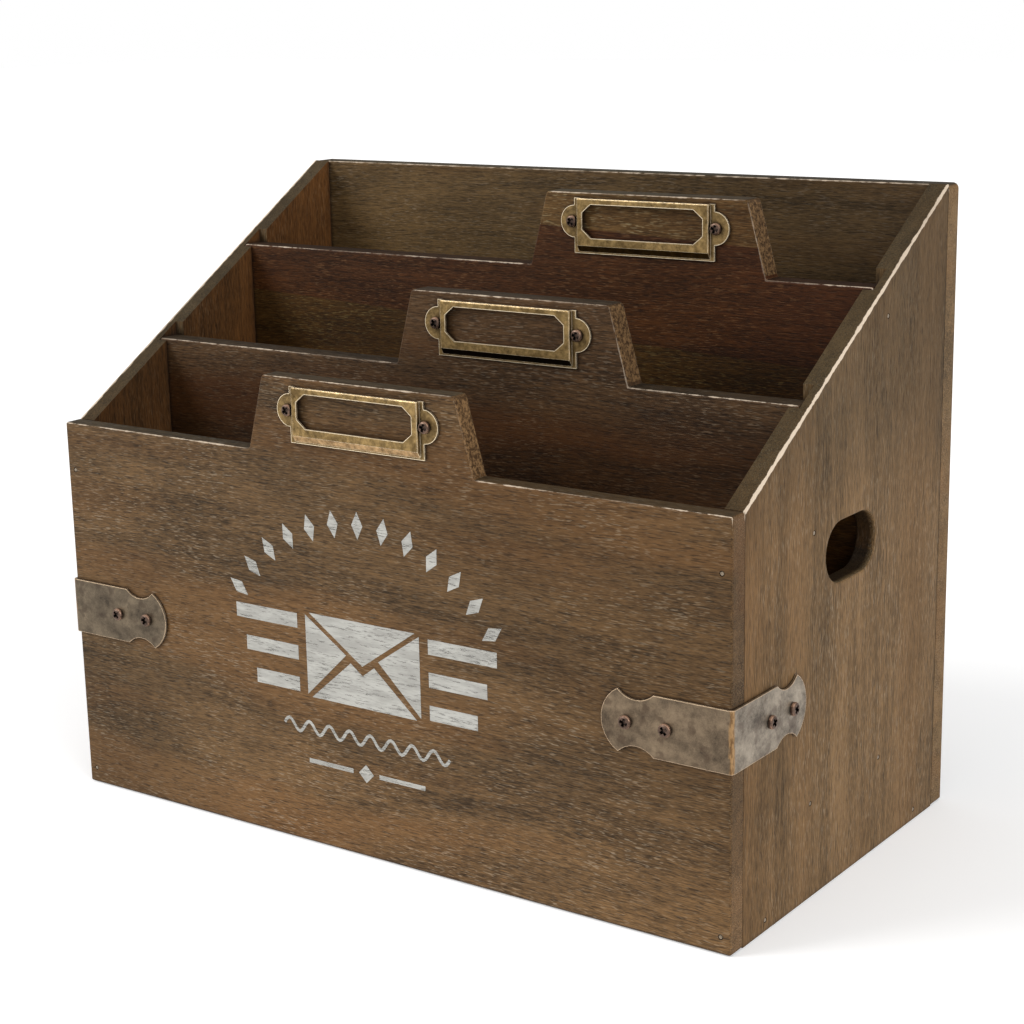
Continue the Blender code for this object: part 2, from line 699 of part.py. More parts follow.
build_front_panel(front_wood)
build_side_panel("left_side_panel", -1, side_wood)
build_side_panel("right_side_panel", 1, side_wood)
build_back_panel(back_wood)
build_bottom_panel(side_wood)
build_divider(
    "middle_divider",
    MIDDLE_DIVIDER_DEPTH,
    MIDDLE_DIVIDER_HEIGHT,
    MIDDLE_TAB_X,
    MIDDLE_FRAME_X,
    MIDDLE_FRAME_LIFT,
    middle_brads,
    divider_wood,
)
build_divider(
    "rear_divider",
    REAR_DIVIDER_DEPTH,
    REAR_DIVIDER_HEIGHT,
    REAR_TAB_X,
    REAR_FRAME_X,
    REAR_FRAME_LIFT,
    rear_brads,
    divider_wood,
)

label_screw = screw_mesh(LABEL_HEAD_RADIUS)
bracket_screw = screw_mesh(BRACKET_HEAD_RADIUS)
brad = brad_mesh()

LABELS = (
    ("front", FRONT_FRAME_X, 0.0, FRONT_HEIGHT + FRONT_FRAME_LIFT),
    ("middle", MIDDLE_FRAME_X, MIDDLE_DIVIDER_DEPTH, MIDDLE_DIVIDER_HEIGHT + MIDDLE_FRAME_LIFT),
    ("rear", REAR_FRAME_X, REAR_DIVIDER_DEPTH, REAR_DIVIDER_HEIGHT + REAR_FRAME_LIFT),
)
for row, frame_x, face_depth, frame_z in LABELS:
    build_label_frame("label_frame_" + row, frame_x, face_depth, frame_z, antique_brass)
    seats = label_screw_places(frame_x, face_depth, frame_z)
    build_screws("label_screw_" + row, label_screw, seats, dark_bronze)

for corner, side in (("left", -1), ("right", 1)):
    build_bracket("corner_bracket_" + corner, side, antique_bronze)
    seats = bracket_front_screw_places(side) + bracket_side_screw_places(side)
    build_screws("bracket_screw_" + corner, bracket_screw, seats, dark_bronze)

build_brads("front_panel_brad", brad, front_brads, bright_steel)
build_brads("back_panel_brad", brad, back_brads, bright_steel)
build_brads("bottom_panel_brad", brad, bottom_brads, bright_steel)
build_brads("middle_divider_brad", brad, middle_brads, bright_steel)
build_brads("rear_divider_brad", brad, rear_brads, bright_steel)
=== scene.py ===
"""Finishes, printed emblem, light and camera for the stained wood desk organizer.

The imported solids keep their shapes. Each gets the finish of the real board or
fitting, worked out in Object coordinates, which are the organizer's own metres:
+X to the right, -Y to the front, +Z up. The one added piece is the emblem, a
thin film of worn ink on the front panel.
"""

import math

import bpy
import numpy as np
from mathutils import Matrix, Vector


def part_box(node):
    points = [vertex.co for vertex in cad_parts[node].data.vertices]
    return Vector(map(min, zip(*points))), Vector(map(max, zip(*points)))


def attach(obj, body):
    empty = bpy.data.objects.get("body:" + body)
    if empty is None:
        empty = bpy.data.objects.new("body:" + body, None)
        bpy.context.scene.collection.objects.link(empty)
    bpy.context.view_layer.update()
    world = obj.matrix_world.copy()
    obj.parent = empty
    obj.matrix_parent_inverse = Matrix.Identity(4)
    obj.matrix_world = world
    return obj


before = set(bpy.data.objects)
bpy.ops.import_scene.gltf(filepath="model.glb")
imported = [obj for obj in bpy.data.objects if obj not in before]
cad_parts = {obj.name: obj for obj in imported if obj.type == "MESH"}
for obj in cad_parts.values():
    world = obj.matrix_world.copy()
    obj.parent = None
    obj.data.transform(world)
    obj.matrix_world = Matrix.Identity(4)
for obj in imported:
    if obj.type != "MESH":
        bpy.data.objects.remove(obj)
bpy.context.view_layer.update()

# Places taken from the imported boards
FRONT_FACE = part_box("front_panel")[0].y
BACK_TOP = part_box("back_panel")[1].z

# Tabs, as the boards are cut; a shoulder is the board's top edge beside its tab
TAB_HEIGHT = 0.032
TAB_FOOT_HALF = 0.058
TAB_SLANT = 0.0087 / TAB_HEIGHT
TAB_TUCK = 0.020
FRONT_SHOULDER = 0.170
MIDDLE_SHOULDER = 0.200
REAR_SHOULDER = 0.2368
BOTTOM_TOP = 0.009
FRONT_TAB_X = -0.0023
MIDDLE_TAB_X = 0.032
REAR_TAB_X = 0.060

# Hand hole: half circles of the radius, each this far from the hole's middle
HAND_HOLE_Z = 0.1376
HAND_HOLE_Y = FRONT_FACE + 0.095
HAND_HOLE_HALF_REACH = 0.009
HAND_HOLE_RADIUS = 0.0123
HOLE_WALL_START = 0.0003
HOLE_WALL_STOP = 0.0006

# Wear, relief and painted shade in corners
BOARD_WEAR_WIDTH = 0.00048
SLOPE_WEAR_WIDTH = 0.0009
TIMBER_RELIEF = 0.00022
METAL_RELIEF = 0.00006
INK_RELIEF = 0.00015
CORNER_SHADE_REACH = 0.003


# Placing and joining nodes ---------------------------------------------------


def place(tree, kind, inputs=None, **settings):
    """Add one node; each input is a constant, or an output to join."""
    made = tree.nodes.new("ShaderNode" + kind)
    for name, value in settings.items():
        setattr(made, name, value)
    for key, value in (inputs or {}).items():
        if isinstance(value, bpy.types.NodeSocket):
            tree.links.new(value, made.inputs[key])
        else:
            made.inputs[key].default_value = value
    return made


def maths(tree, operation, first, second=0.0, clamp=False):
    made = place(tree, "Math", {0: first, 1: second}, operation=operation, use_clamp=clamp)
    return made.outputs[0]


def smallest(tree, *values):
    least = values[0]
    for value in values[1:]:
        least = maths(tree, "MINIMUM", least, value)
    return least


def remap(tree, value, low, high, to_low=0.0, to_high=1.0, smooth=True):
    """Stretch low..high to to_low..to_high, held at both ends."""
    ends = {"Value": value, "From Min": low, "From Max": high, "To Min": to_low, "To Max": to_high}
    made = place(tree, "MapRange", ends, interpolation_type="SMOOTHSTEP" if smooth else "LINEAR")
    return made.outputs["Result"]


def mix(tree, share, base, over, blend="MIX"):
    """Colour mix of two colours."""
    made = place(tree, "Mix", {0: share, 6: base, 7: over}, data_type="RGBA", blend_type=blend)
    return made.outputs[2]


def noise(tree, vector, stretch, detail=2.0, roughness=0.5, shift=(0.0, 0.0, 0.0), distortion=0.0):
    """Noise whose cells are 1 / stretch metres long along each axis."""
    moved = place(tree, "Mapping", {"Vector": vector, "Location": shift, "Scale": stretch})
    values = {
        "Vector": moved.outputs[0],
        "Scale": 1.0,
        "Detail": detail,
        "Roughness": roughness,
        "Distortion": distortion,
    }
    return place(tree, "TexNoise", values).outputs[0]


def swing(tree, value, weight):
    """How far the value is from one half, times the weight."""
    return maths(tree, "MULTIPLY", maths(tree, "SUBTRACT", value, 0.5), weight)


def split(tree, vector):
    return place(tree, "SeparateXYZ", {0: vector}).outputs[:]


def join(tree, x, y, z):
    return place(tree, "CombineXYZ", {0: x, 1: y, 2: z}).outputs[0]


SOCKETS = {"value": "NodeSocketFloat", "colour": "NodeSocketColor", "vector": "NodeSocketVector"}


def new_group(name, takes, gives, fill):
    """A shader group; fill(tree, inputs) returns its outputs in the order of gives."""
    tree = bpy.data.node_groups.new(name, "ShaderNodeTree")
    for label, kind in takes:
        tree.interface.new_socket(label, in_out="INPUT", socket_type=SOCKETS[kind])
    for label, kind in gives:
        tree.interface.new_socket(label, in_out="OUTPUT", socket_type=SOCKETS[kind])
    entry = tree.nodes.new("NodeGroupInput")
    leave = tree.nodes.new("NodeGroupOutput")
    results = fill(tree, {label: entry.outputs[label] for label, kind in takes})
    for (label, kind), result in zip(gives, results):
        tree.links.new(result, leave.inputs[label])
    return tree


def use_group(tree, group, inputs):
    made = tree.nodes.new("ShaderNodeGroup")
    made.node_tree = group
    for label, value in inputs.items():
        if isinstance(value, bpy.types.NodeSocket):
            tree.links.new(value, made.inputs[label])
        else:
            made.inputs[label].default_value = value
    return made.outputs


# Groups that several finishes share ------------------------------------------


def fill_grain(tree, into):
    """Stained timber whose fibres run along the vector's first axis.

    Broad bands, curved growth rings and two sizes of fibre move the colour
    between dark and light; warm patches, dark pores and pale flecks lie over it.
    """
    warp = noise(tree, into["Vector"], (6.0, 12.0, 12.0), detail=2.0, shift=(3.1, 0.0, 0.0))
    lift = swing(tree, warp, 0.021)
    sway = maths(tree, "MULTIPLY", lift, 0.25)
    x, y, z = split(tree, into["Vector"])
    bent = join(tree, x, maths(tree, "ADD", y, lift), maths(tree, "ADD", z, lift))
    even = join(tree, x, maths(tree, "ADD", y, sway), maths(tree, "ADD", z, sway))
    band = noise(tree, bent, (2.5, 42.0, 42.0), detail=3.0, roughness=0.55)
    ring = noise(tree, bent, (7.0, 230.0, 230.0), detail=2.0, roughness=0.5, shift=(0.0, 5.0, 2.0))
    fibre = noise(tree, even, (48.0, 1150.0, 1150.0), detail=3.0, roughness=0.7)
    hair = noise(tree, even, (220.0, 2000.0, 2000.0), detail=2.0, roughness=0.7)
    patch = noise(tree, into["Vector"], (12.0, 26.0, 26.0), detail=3.0, shift=(1.0, 7.0, 4.0))
    tone = swing(tree, band, into["Figure"])
    for layer, weight in ((ring, 0.8), (fibre, 1.2), (hair, 1.9), (patch, 1.0)):
        tone = maths(tree, "ADD", tone, swing(tree, layer, weight))
    tone = maths(tree, "ADD", tone, 0.5, clamp=True)
    colour = mix(tree, tone, into["Dark"], into["Light"])
    glow = noise(tree, bent, (3.0, 27.0, 27.0), detail=3.0, shift=(9.0, 1.0, 6.0))
    glow = maths(tree, "MULTIPLY", remap(tree, glow, 0.47, 0.63), into["Warmth"])
    colour = mix(tree, glow, colour, into["Warm"])
    pore = noise(tree, even, (170.0, 2100.0, 2100.0), detail=1.0, shift=(2.0, 8.0, 1.0))
    pore = remap(tree, pore, 0.56, 0.68)
    shade = maths(tree, "MULTIPLY", pore, into["Pores"])
    colour = mix(tree, shade, colour, PORE_BROWN)
    fleck = noise(tree, even, (260.0, 2200.0, 2200.0), detail=1.0, shift=(4.0, 4.0, 9.0))
    cluster = noise(tree, into["Vector"], (30.0, 45.0, 45.0), detail=2.0, shift=(8.0, 3.0, 2.0))
    gathered = remap(tree, cluster, 0.35, 0.65, 0.35, 1.0)
    fleck = maths(tree, "MULTIPLY", remap(tree, fleck, 0.57, 0.70), gathered)
    fleck = maths(tree, "MULTIPLY", fleck, into["Flecks"])
    colour = mix(tree, fleck, colour, FLECK_GREY)
    height = maths(tree, "ADD", maths(tree, "MULTIPLY", fibre, 0.7), maths(tree, "MULTIPLY", hair, 0.5))
    height = maths(tree, "SUBTRACT", height, maths(tree, "MULTIPLY", pore, 0.35))
    roughness = remap(tree, tone, 0.0, 1.0, 0.66, 0.54, smooth=False)
    return colour, roughness, height, tone


PORE_BROWN = (0.012, 0.008, 0.005, 1.0)
FLECK_GREY = (0.34, 0.27, 0.19, 1.0)

grain = new_group(
    "timber grain",
    (
        ("Vector", "vector"),
        ("Dark", "colour"),
        ("Light", "colour"),
        ("Warm", "colour"),
        ("Figure", "value"),
        ("Warmth", "value"),
        ("Pores", "value"),
        ("Flecks", "value"),
    ),
    (("Color", "colour"), ("Roughness", "value"), ("Height", "value"), ("Tone", "value")),
    fill_grain,
)


def fill_wear(tree, into):
    """Bare timber along an edge: a line of the given width with a broken border.

    Distance is how far a point lies from the nearest edge; two noises move the
    border in and out and let the stain survive in places.
    """
    ragged = noise(tree, into["Vector"], (220.0, 220.0, 220.0), detail=3.0, roughness=0.65)
    broad = noise(tree, into["Vector"], (22.0, 22.0, 22.0), detail=2.0, shift=(5.0, 2.0, 8.0))
    reach = maths(tree, "MULTIPLY", into["Width"], remap(tree, ragged, 0.3, 0.7, 0.45, 1.5, smooth=False))
    line = remap(tree, maths(tree, "DIVIDE", into["Distance"], reach), 0.75, 1.15, 1.0, 0.0)
    kept = remap(tree, broad, 0.34, 0.56, into["Least"], 1.0)
    return (maths(tree, "MULTIPLY", line, kept),)


wear = new_group(
    "worn edge",
    (("Vector", "vector"), ("Distance", "value"), ("Width", "value"), ("Least", "value")),
    (("Mask", "value"),),
    fill_wear,
)


def fill_board_edges(tree, into):
    """Distances on a board that stands across the case, with or without a tab.

    Outline is how far inside the board's outline a point lies: the larger of
    its depth in the rectangle and its depth in the tab. Face is how far it lies
    behind the nearer of the two broad faces, Slanting how far it lies from the
    lines of the tab's slanting ends.
    """
    x, y, z = split(tree, into["Vector"])
    below = maths(tree, "SUBTRACT", into["Shoulder"], z)
    wide = maths(tree, "SUBTRACT", into["Half width"], maths(tree, "ABSOLUTE", x))
    rectangle = smallest(tree, below, wide, z)
    from_middle = maths(tree, "ABSOLUTE", maths(tree, "SUBTRACT", x, into["Tab x"]))
    slant = maths(tree, "MULTIPLY", below, TAB_SLANT)
    beside = maths(tree, "SUBTRACT", maths(tree, "ADD", slant, TAB_FOOT_HALF), from_middle)
    under_tab_top = maths(tree, "ADD", below, into["Tab height"])
    tucked = maths(tree, "SUBTRACT", TAB_TUCK, below)
    tab = smallest(tree, under_tab_top, beside, tucked)
    outline = maths(tree, "MAXIMUM", rectangle, tab)
    slanting = maths(tree, "ABSOLUTE", beside)
    behind_front = maths(tree, "SUBTRACT", y, into["Front y"])
    before_back = maths(tree, "SUBTRACT", into["Back y"], y)
    face = smallest(tree, behind_front, before_back)
    return outline, face, slanting


board_edges = new_group(
    "board edge distances",
    (
        ("Vector", "vector"),
        ("Half width", "value"),
        ("Shoulder", "value"),
        ("Tab x", "value"),
        ("Tab height", "value"),
        ("Front y", "value"),
        ("Back y", "value"),
    ),
    (("Outline", "value"), ("Face", "value"), ("Slanting", "value")),
    fill_board_edges,
)


def fill_patina(tree, into):
    """Aged plating: cloudy patches, small mottles and fine specks over one tone."""
    cloud = noise(tree, into["Vector"], (75.0, 75.0, 95.0), detail=5.0, roughness=0.62)
    mottle = noise(tree, into["Vector"], (420.0, 420.0, 420.0), detail=4.0, roughness=0.65)
    speck = noise(tree, into["Vector"], (1900.0, 1900.0, 1900.0), detail=2.0, roughness=0.6)
    share = swing(tree, cloud, into["Clouds"])
    share = maths(tree, "ADD", share, swing(tree, mottle, into["Mottle"]))
    share = maths(tree, "ADD", share, swing(tree, speck, 0.6))
    share = maths(tree, "ADD", share, 0.5, clamp=True)
    colour = mix(tree, share, into["Dark"], into["Light"])
    stain = noise(tree, into["Vector"], (160.0, 160.0, 160.0), detail=3.0, shift=(4.0, 4.0, 4.0))
    stain = maths(tree, "MULTIPLY", remap(tree, stain, 0.54, 0.66), 0.55)
    colour = mix(tree, stain, colour, into["Stain"])
    roughness = remap(tree, share, 0.0, 1.0, 0.56, 0.34, smooth=False)
    height = maths(tree, "ADD", mottle, maths(tree, "MULTIPLY", speck, 0.4))
    return colour, roughness, height


patina = new_group(
    "aged plating",
    (
        ("Vector", "vector"),
        ("Dark", "colour"),
        ("Light", "colour"),
        ("Stain", "colour"),
        ("Clouds", "value"),
        ("Mottle", "value"),
    ),
    (("Color", "colour"), ("Roughness", "value"), ("Height", "value")),
    fill_patina,
)


# Finishes ------------------------------------------------------------------------


def new_finish(name):
    """An empty material: its tree, its shader and the Object coordinates."""
    made = bpy.data.materials.new(name)
    made.use_nodes = True
    tree = made.node_tree
    return made, tree, tree.nodes["Principled BSDF"], place(tree, "TexCoord").outputs["Object"]


def set_surface(tree, shader, colour, roughness, height, bump):
    tree.links.new(colour, shader.inputs["Base Color"])
    tree.links.new(roughness, shader.inputs["Roughness"])
    relief = place(tree, "Bump", {"Height": height, "Strength": 0.6, "Distance": bump})
    tree.links.new(relief.outputs[0], shader.inputs["Normal"])


PALE_TIMBER = (0.66, 0.54, 0.41, 1.0)
# Near-black of the painted shade in corners, seams and recesses
CORNER_SHADE_DARK = (0.008, 0.005, 0.004, 1.0)
END_DARK = (0.048, 0.025, 0.011, 1.0)
END_GOLD = (0.220, 0.126, 0.055, 1.0)
TIMBER_GLOSS = 0.12

# Stains, painted shade, painted light and plain darkening multiply the timber's colour
UPWARD_DARKENING = (0.50, 0.60, 0.72, 1.0)
SLOPE_DARKENING = (0.60, 0.66, 0.70, 1.0)
# Painted shade on the side panels' inner faces
INNER_PAINTED_SHADE = (0.62, 0.48, 0.38, 1.0)
# Painted pool of warm light on the inner faces toward the rear
INNER_REAR_PAINTED_LIGHT = (1.80, 1.65, 1.50, 1.0)
SIDE_TOP_DARKENING = (0.60, 0.61, 0.59, 1.0)
SIDE_FRONT_DARKENING = (0.84, 0.79, 0.71, 1.0)
# Painted shade on the wall of the hand hole
HOLE_PAINTED_SHADE = (0.25, 0.22, 0.20, 1.0)
FRONT_CORNER_DARKENING = (0.78, 0.75, 0.70, 1.0)
# Painted light low in the middle of the front board
FRONT_LOW_PAINTED_LIGHT = (1.18, 1.15, 1.12, 1.0)
FRONT_LEFT_STAIN = (0.86, 0.87, 0.87, 1.0)
# Painted shade on the middle divider inside the case
MIDDLE_INSIDE_PAINTED_SHADE = (0.64, 0.53, 0.43, 1.0)
BACK_RIGHT_DARKENING = (0.62, 0.62, 0.66, 1.0)
BACK_END_STAIN = (1.50, 1.50, 1.60, 1.0)
REAR_RED_STAIN = (0.80, 0.54, 0.34, 1.0)
REAR_GREY_STAIN = (1.95, 3.05, 3.90, 1.0)
REAR_OLIVE_STAIN = (1.05, 1.40, 1.20, 1.0)
REAR_RIGHT_DARKENING = (0.68, 0.58, 0.48, 1.0)

FRONT_TONES = {
    "Dark": (0.036, 0.022, 0.011, 1.0),
    "Light": (0.158, 0.090, 0.038, 1.0),
    "Warm": (0.170, 0.080, 0.027, 1.0),
    "Figure": 1.0,
    "Warmth": 0.38,
    "Pores": 0.56,
    "Flecks": 0.43,
}
SIDE_TONES = {
    "Dark": (0.064, 0.038, 0.016, 1.0),
    "Light": (0.212, 0.122, 0.051, 1.0),
    "Warm": (0.190, 0.101, 0.038, 1.0),
    "Figure": 1.1,
    "Warmth": 0.35,
    "Pores": 0.46,
    "Flecks": 0.40,
}
MIDDLE_TONES = {
    "Dark": (0.022, 0.011, 0.0045, 1.0),
    "Light": (0.098, 0.051, 0.021, 1.0),
    "Warm": (0.098, 0.040, 0.012, 1.0),
    "Figure": 1.0,
    "Warmth": 0.45,
    "Pores": 0.45,
    "Flecks": 0.26,
}
BACK_TONES = {
    "Dark": (0.036, 0.022, 0.009, 1.0),
    "Light": (0.140, 0.083, 0.032, 1.0),
    "Warm": (0.130, 0.062, 0.018, 1.0),
    "Figure": 1.0,
    "Warmth": 0.35,
    "Pores": 0.40,
    "Flecks": 0.24,
}
BOTTOM_TONES = {
    "Dark": (0.025, 0.014, 0.007, 1.0),
    "Light": (0.095, 0.052, 0.022, 1.0),
    "Warm": (0.090, 0.040, 0.014, 1.0),
    "Figure": 1.0,
    "Warmth": 0.30,
    "Pores": 0.40,
    "Flecks": 0.15,
}


def moved_along(tree, position, shift):
    return place(tree, "Mapping", {"Vector": position, "Location": shift}).outputs[0]


def mix_value(tree, share, base, over):
    return place(tree, "Mix", {0: share, 2: base, 3: over}).outputs[0]


def facing(tree, axis):
    """How squarely the surface looks along one axis, 0 to 1 with either sign."""
    normal = split(tree, place(tree, "NewGeometry").outputs["Normal"])[axis]
    return maths(tree, "ABSOLUTE", normal)


def stain_and_shade(tree, share, colour, stain):
    """The colour times the given multiplier, by share: a real stain in some places, painted shade and painted
    light in others.
    """
    return mix(tree, share, colour, mix(tree, 1.0, colour, stain, "MULTIPLY"))


def cross_board_finish(name, node, shoulder, tones, shift, tab_x=None, layers=None, end_wear=0.0):
    """Finish of a board with level grain, its top edges worn back to pale timber.

    The tab's slanting ends show end grain: dark and golden specks.
    """
    made, tree, shader, position = new_finish(name)
    low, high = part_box(node)
    values = dict(tones, Vector=moved_along(tree, position, shift))
    timber = use_group(tree, grain, values)
    colour = timber["Color"]
    if layers is not None:
        colour = layers(tree, position, colour)
    edges = use_group(
        tree,
        board_edges,
        {
            "Vector": position,
            "Half width": high.x,
            "Shoulder": shoulder,
            "Tab x": 0.0 if tab_x is None else tab_x,
            "Tab height": -1.0 if tab_x is None else TAB_HEIGHT,
            "Front y": low.y,
            "Back y": high.y,
        },
    )
    x, _, z = split(tree, position)
    # Upward faces made darker and greyer
    colour = stain_and_shade(tree, remap(tree, facing(tree, 2), 0.80, 0.95), colour, UPWARD_DARKENING)
    end_grain = maths(tree, "MULTIPLY", facing(tree, 0), remap(tree, z, shoulder, shoulder + 0.002))
    specks = noise(tree, position, (700.0, 700.0, 700.0), detail=3.0, roughness=0.7, shift=(7.0, 7.0, 7.0))
    cut_wood = mix(tree, remap(tree, specks, 0.36, 0.66), END_DARK, END_GOLD)
    colour = mix(tree, remap(tree, end_grain, 0.60, 0.85), colour, stained_like(tree, cut_wood, tones))
    nearest = maths(tree, "MAXIMUM", edges["Outline"], edges["Face"])
    upper = remap(tree, z, shoulder - 0.004, shoulder - 0.0015)
    right_end = remap(tree, x, 0.0, 0.10, 0.08, 0.08 + end_wear)
    level = mix_value(tree, remap(tree, edges["Slanting"], 0.0006, 0.0030), right_end, 1.0)
    # Painted shade in corners and seams where nearby surfaces close off the sky
    colour = painted_corner_shade(tree, colour, CORNER_SHADE_REACH, 0.90, 0.40, CORNER_SHADE_DARK, 0.65)
    along_edge = {"Vector": position, "Distance": nearest, "Width": BOARD_WEAR_WIDTH, "Least": 0.22}
    worn = use_group(tree, wear, along_edge)
    bare = maths(tree, "MULTIPLY", maths(tree, "MULTIPLY", worn["Mask"], upper), level)
    colour = mix(tree, maths(tree, "MULTIPLY", bare, 0.68), colour, PALE_TIMBER)
    set_surface(tree, shader, colour, timber["Roughness"], timber["Height"], TIMBER_RELIEF)
    shader.inputs["Specular IOR Level"].default_value = TIMBER_GLOSS
    return made


def stained_like(tree, colour, tones):
    """The colour scaled part of the way to the tones' lightness against the front panel's."""
    share = 0.4 + 0.6 * tones["Light"][0] / FRONT_TONES["Light"][0]
    return mix(tree, 1.0, colour, (share, share, share, 1.0), "MULTIPLY")


def front_shade(tree, position, colour):
    """The front board darkens toward its upper right corner and is palest low down, where painted light lifts
    the lower middle; the lower left is darkened again.
    """
    x, _, z = split(tree, position)
    diagonal = maths(tree, "ADD", maths(tree, "MULTIPLY", x, 0.7), z)
    colour = stain_and_shade(tree, remap(tree, diagonal, 0.09, 0.20), colour, FRONT_CORNER_DARKENING)
    low_middle = maths(tree, "MULTIPLY", remap(tree, z, 0.075, 0.01), remap(tree, x, -0.13, -0.03))
    # Painted light low in the middle of the board
    colour = stain_and_shade(tree, low_middle, colour, FRONT_LOW_PAINTED_LIGHT)
    low_left = maths(tree, "MULTIPLY", remap(tree, z, 0.13, 0.05), remap(tree, x, -0.05, -0.14))
    return stain_and_shade(tree, low_left, colour, FRONT_LEFT_STAIN)


def middle_shade(tree, position, colour):
    """Painted shade: the board is darker inside the case than on the tab."""
    z = split(tree, position)[2]
    return stain_and_shade(tree, remap(tree, z, 0.198, 0.178), colour, MIDDLE_INSIDE_PAINTED_SHADE)


def back_shade(tree, position, colour):
    """The back board darkens toward its right, and its ends match the sides."""
    x = split(tree, position)[0]
    end = remap(tree, facing(tree, 0), 0.6, 0.85)
    inner = maths(tree, "MULTIPLY", remap(tree, x, -0.02, 0.15), maths(tree, "SUBTRACT", 1.0, end))
    colour = stain_and_shade(tree, inner, colour, BACK_RIGHT_DARKENING)
    return stain_and_shade(tree, end, colour, BACK_END_STAIN)


def side_finish(name, node, shift):
    """Finish of a side panel with upright grain, its slope worn back to pale timber.

    The timber is darker near the top and toward the front, darker and greyer where
    the slope looks up, with painted shade on the inner face, a painted pool of warm
    light toward its rear, and painted shade almost black on the wall of the hand
    hole, whose outline is a slot with round ends.
    """
    made, tree, shader, position = new_finish(name)
    low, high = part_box(node)
    x, y, z = split(tree, position)
    upright = join(tree, z, y, x)
    values = dict(SIDE_TONES, Vector=moved_along(tree, upright, shift))
    timber = use_group(tree, grain, values)
    slope = (high.z - FRONT_SHOULDER) / (high.y - low.y)
    along = maths(tree, "MULTIPLY", maths(tree, "SUBTRACT", y, low.y), slope)
    below = maths(tree, "SUBTRACT", maths(tree, "ADD", along, FRONT_SHOULDER), z)
    below = maths(tree, "MULTIPLY", below, math.cos(math.atan(slope)))
    outer = high.x if high.x > -low.x else low.x
    depth = maths(tree, "ABSOLUTE", maths(tree, "SUBTRACT", x, outer))
    nearest = maths(tree, "MAXIMUM", below, depth)
    along_slope = {"Vector": position, "Distance": nearest, "Width": SLOPE_WEAR_WIDTH, "Least": 0.7}
    worn = use_group(tree, wear, along_slope)
    # Darker toward the top and toward the front
    colour = stain_and_shade(tree, remap(tree, z, 0.13, 0.20), timber["Color"], SIDE_TOP_DARKENING)
    colour = stain_and_shade(tree, remap(tree, y, -0.030, -0.090), colour, SIDE_FRONT_DARKENING)
    sideways = remap(tree, facing(tree, 0), 0.6, 0.85)
    inside = maths(tree, "MULTIPLY", remap(tree, depth, 0.0012, 0.0022), sideways)
    # Painted shade on the inner face
    colour = stain_and_shade(tree, inside, colour, INNER_PAINTED_SHADE)
    upward = split(tree, place(tree, "NewGeometry").outputs["Normal"])[2]
    # Where the slope looks up, darker and greyer
    colour = stain_and_shade(tree, remap(tree, upward, 0.35, 0.55), colour, SLOPE_DARKENING)
    # Painted pool of warm light on the inner face toward the rear
    rear_painted_light = maths(tree, "MULTIPLY", inside, remap(tree, y, -0.07, 0.06))
    colour = stain_and_shade(tree, rear_painted_light, colour, INNER_REAR_PAINTED_LIGHT)
    past = maths(tree, "ABSOLUTE", maths(tree, "SUBTRACT", y, HAND_HOLE_Y))
    past = maths(tree, "MAXIMUM", maths(tree, "SUBTRACT", past, HAND_HOLE_HALF_REACH), 0.0)
    rise = maths(tree, "SUBTRACT", z, HAND_HOLE_Z)
    away = maths(tree, "ADD", maths(tree, "MULTIPLY", past, past), maths(tree, "MULTIPLY", rise, rise))
    away = maths(tree, "SQRT", away)
    rim = HAND_HOLE_RADIUS
    # Painted shade on the wall of the hand hole
    hole_wall = remap(tree, away, rim + HOLE_WALL_START, rim + HOLE_WALL_STOP, 1.0, 0.0)
    hole_wall = maths(tree, "MULTIPLY", hole_wall, remap(tree, depth, 0.0010, 0.0030))
    colour = stain_and_shade(tree, hole_wall, colour, HOLE_PAINTED_SHADE)
    # Painted shade in corners and seams where nearby surfaces close off the sky
    colour = painted_corner_shade(tree, colour, CORNER_SHADE_REACH, 0.90, 0.40, CORNER_SHADE_DARK, 0.65)
    colour = mix(tree, maths(tree, "MULTIPLY", worn["Mask"], 0.92), colour, PALE_TIMBER)
    set_surface(tree, shader, colour, timber["Roughness"], timber["Height"], TIMBER_RELIEF)
    shader.inputs["Specular IOR Level"].default_value = TIMBER_GLOSS
    return made


def rear_bands(tree, position, colour):
    """Three boards glued edge to edge: grey-brown above, red-brown, then olive."""
    x, _, z = split(tree, position)
    tilt = maths(tree, "MULTIPLY", x, -0.045)
    level = maths(tree, "SUBTRACT", z, tilt)
    grey = remap(tree, level, 0.2543, 0.2549)
    olive = remap(tree, level, 0.2080, 0.2086, 1.0, 0.0)
    colour = mix(tree, 1.0, colour, REAR_RED_STAIN, "MULTIPLY")
    lifted = mix(tree, 1.0, colour, REAR_GREY_STAIN, "MULTIPLY")
    colour = mix(tree, grey, colour, lifted)
    mossy = mix(tree, 1.0, colour, REAR_OLIVE_STAIN, "MULTIPLY")
    colour = mix(tree, olive, colour, mossy)
    # Darker toward the right end
    return stain_and_shade(tree, remap(tree, x, 0.05, 0.15), colour, REAR_RIGHT_DARKENING)


# Painted shade on the brass sheet behind the raised tray face
BRASS_SHEET_PAINTED_SHADE = (0.70, 0.69, 0.72, 1.0)
# Dark of the painted shade in the label frames' corners and window
BRASS_CORNER_SHADE = (0.030, 0.018, 0.008, 1.0)
# Rim colours: partly rubbed plating, partly a painted highlight
BRASS_RIM = (0.95, 0.80, 0.57, 1.0)
BRACKET_RIM = (0.78, 0.57, 0.37, 1.0)
# Painted light on the brackets' side leaves
BRACKET_SIDE_PAINTED_LIGHT = (1.60, 1.85, 2.25, 1.0)
BRACKET_LEFT_DARKENING = (0.82, 0.86, 0.88, 1.0)
BEND_DARK = (0.15, 0.075, 0.025, 1.0)
BEND_GOLD = (0.34, 0.20, 0.085, 1.0)
